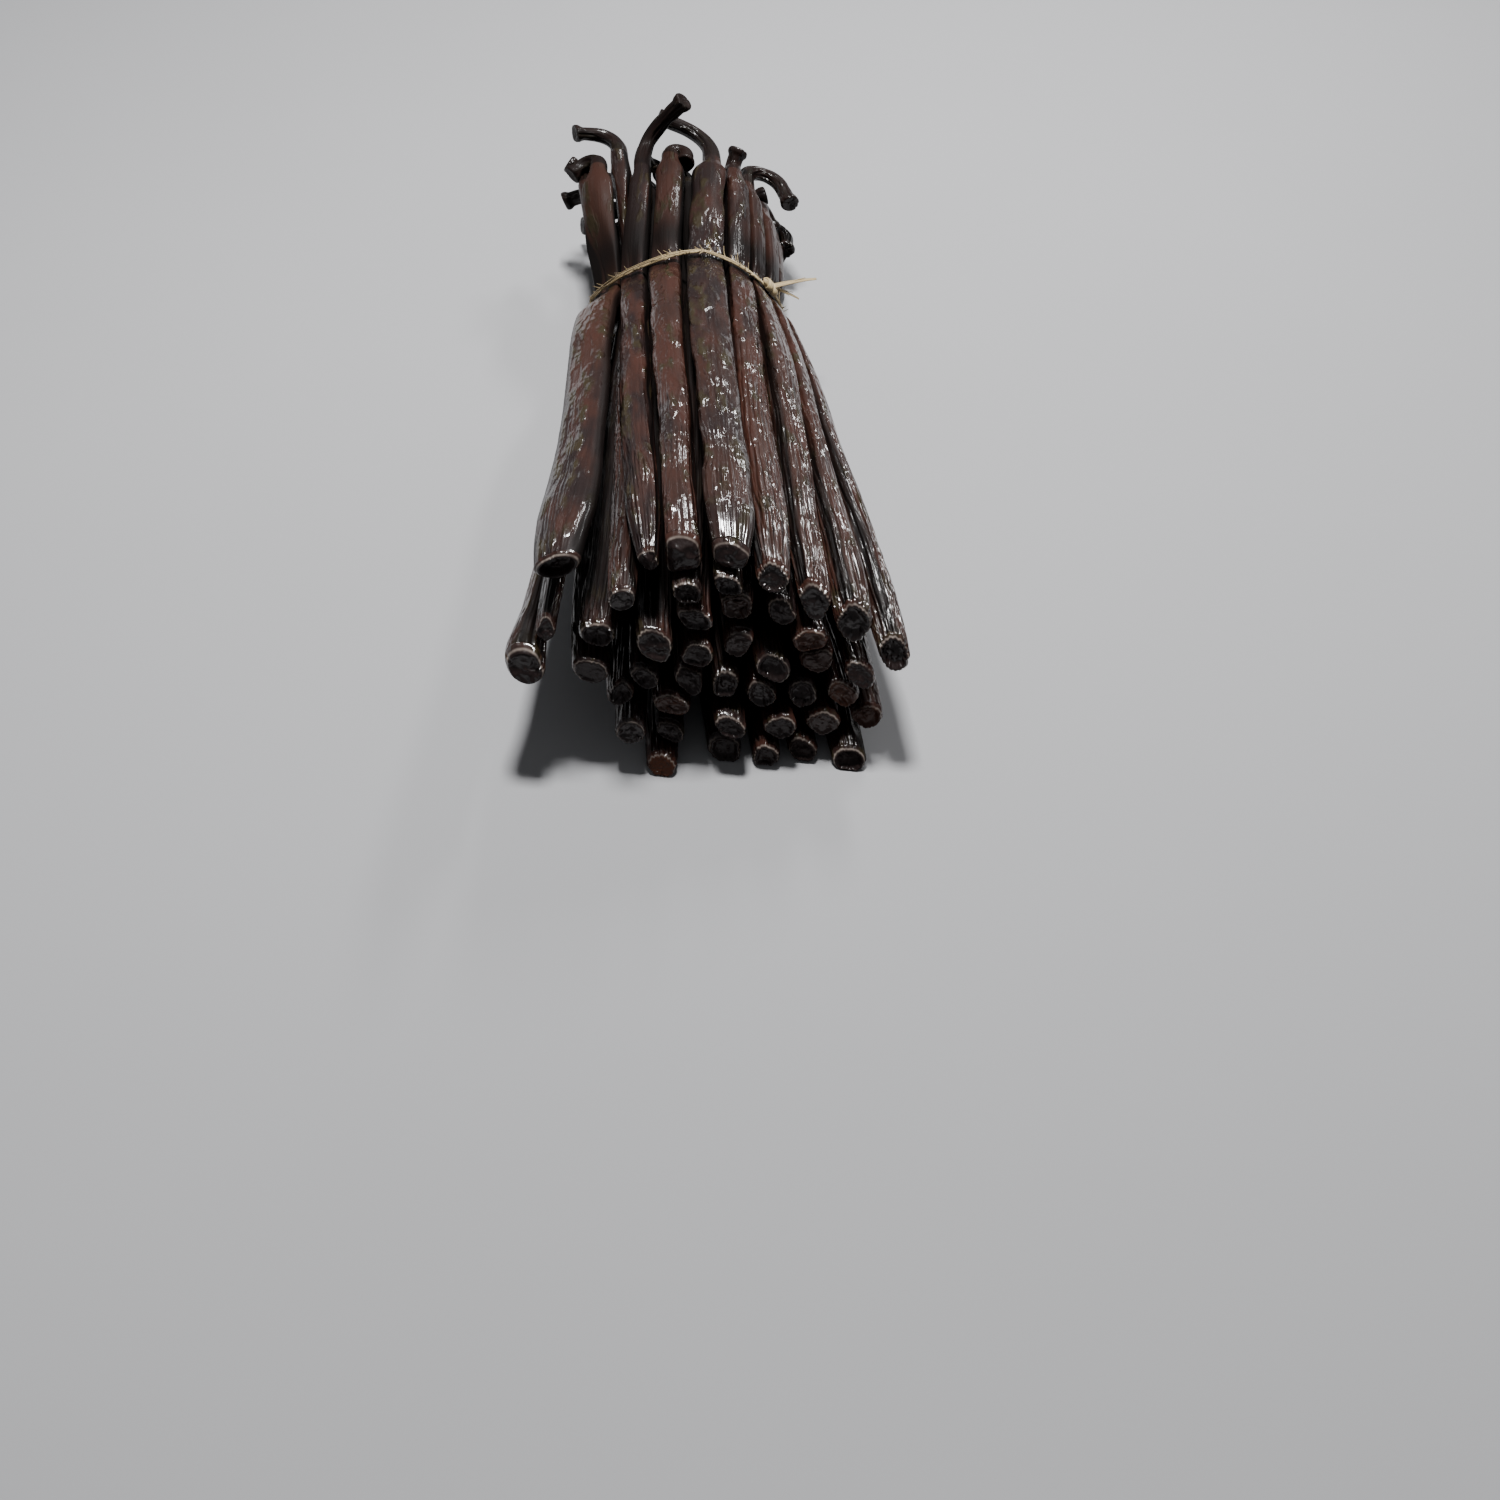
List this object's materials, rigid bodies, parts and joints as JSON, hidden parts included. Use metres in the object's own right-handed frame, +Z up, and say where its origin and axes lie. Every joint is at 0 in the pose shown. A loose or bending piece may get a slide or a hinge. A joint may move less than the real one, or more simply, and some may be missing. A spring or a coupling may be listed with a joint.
{
  "type": "bundle of vanilla pods",
  "caption": "Bundle of cured vanilla pods lying on its side: blunt blossom ends fanned out at one end, hooked stem ends at the other, and a raffia tie near the stems.",
  "frame": {"origin": "middle of the footprint's bounding box, on the surface that the bundle lies on", "axes": "+Z up, +Y along the bundle from the fanned blossom ends to the hooked stem ends, +X to the right seen from the blossom ends"},
  "size_m": [0.0654, 0.1642, 0.0399],
  "materials": {
    "vanilla_pod": "oily, wrinkled lengthwise, near black in the creases",
    "raffia": "dry, fibrous"
  },
  "bodies": {
    "root": {"vanilla_pods": "vanilla_pod", "raffia_tie": "raffia"}
  },
  "joints": []
}
